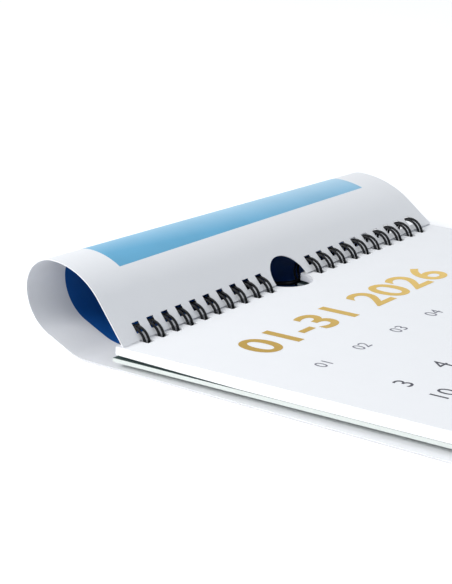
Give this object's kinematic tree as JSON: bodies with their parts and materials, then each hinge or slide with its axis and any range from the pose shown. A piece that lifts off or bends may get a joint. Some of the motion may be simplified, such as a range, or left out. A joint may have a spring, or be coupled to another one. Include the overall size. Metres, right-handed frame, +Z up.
{
  "type": "wall calendar",
  "caption": "Wire-bound A4 wall calendar lying flat, with its cover sheet turned over the wire and curled back under the block of month leaves.",
  "frame": {"origin": "on the table, under the middle of the whole object's bounding box", "axes": "+Z up from the table, +Y from the foot of the page towards the binding wire, +X along the wire"},
  "size_m": [0.2164, 0.3422, 0.0356],
  "materials": {
    "cover_paper": "coated satin paper, 300 g/m2",
    "leaf_paper": "smooth matt white paper",
    "grey_card": "uncoated grey board",
    "binding_wire": "black nylon-coated steel wire",
    "hanger_wire": "black coated steel wire"
  },
  "bodies": {
    "binding": {"cover_sheet": "cover_paper", "back_card": "grey_card", "wire_comb_left": "binding_wire", "wire_comb_right": "binding_wire"},
    "leaves": {"month_leaves": "leaf_paper"},
    "hanger": {"hanger": "hanger_wire"}
  },
  "joints": [
    {"name": "leaves_turn", "type": "hinge", "parent": "binding", "child": "leaves", "pos_m": [0.00317, 0.12683, 0.00695], "axis": [-1, 0, 0], "range_deg": [0, 45], "deforming": ["cover_sheet"]},
    {"name": "hanger_swing", "type": "hinge", "parent": "binding", "child": "hanger", "pos_m": [0.00317, 0.12953, 0.0039], "axis": [1, 0, 0], "range_deg": [0, 75]}
  ]
}
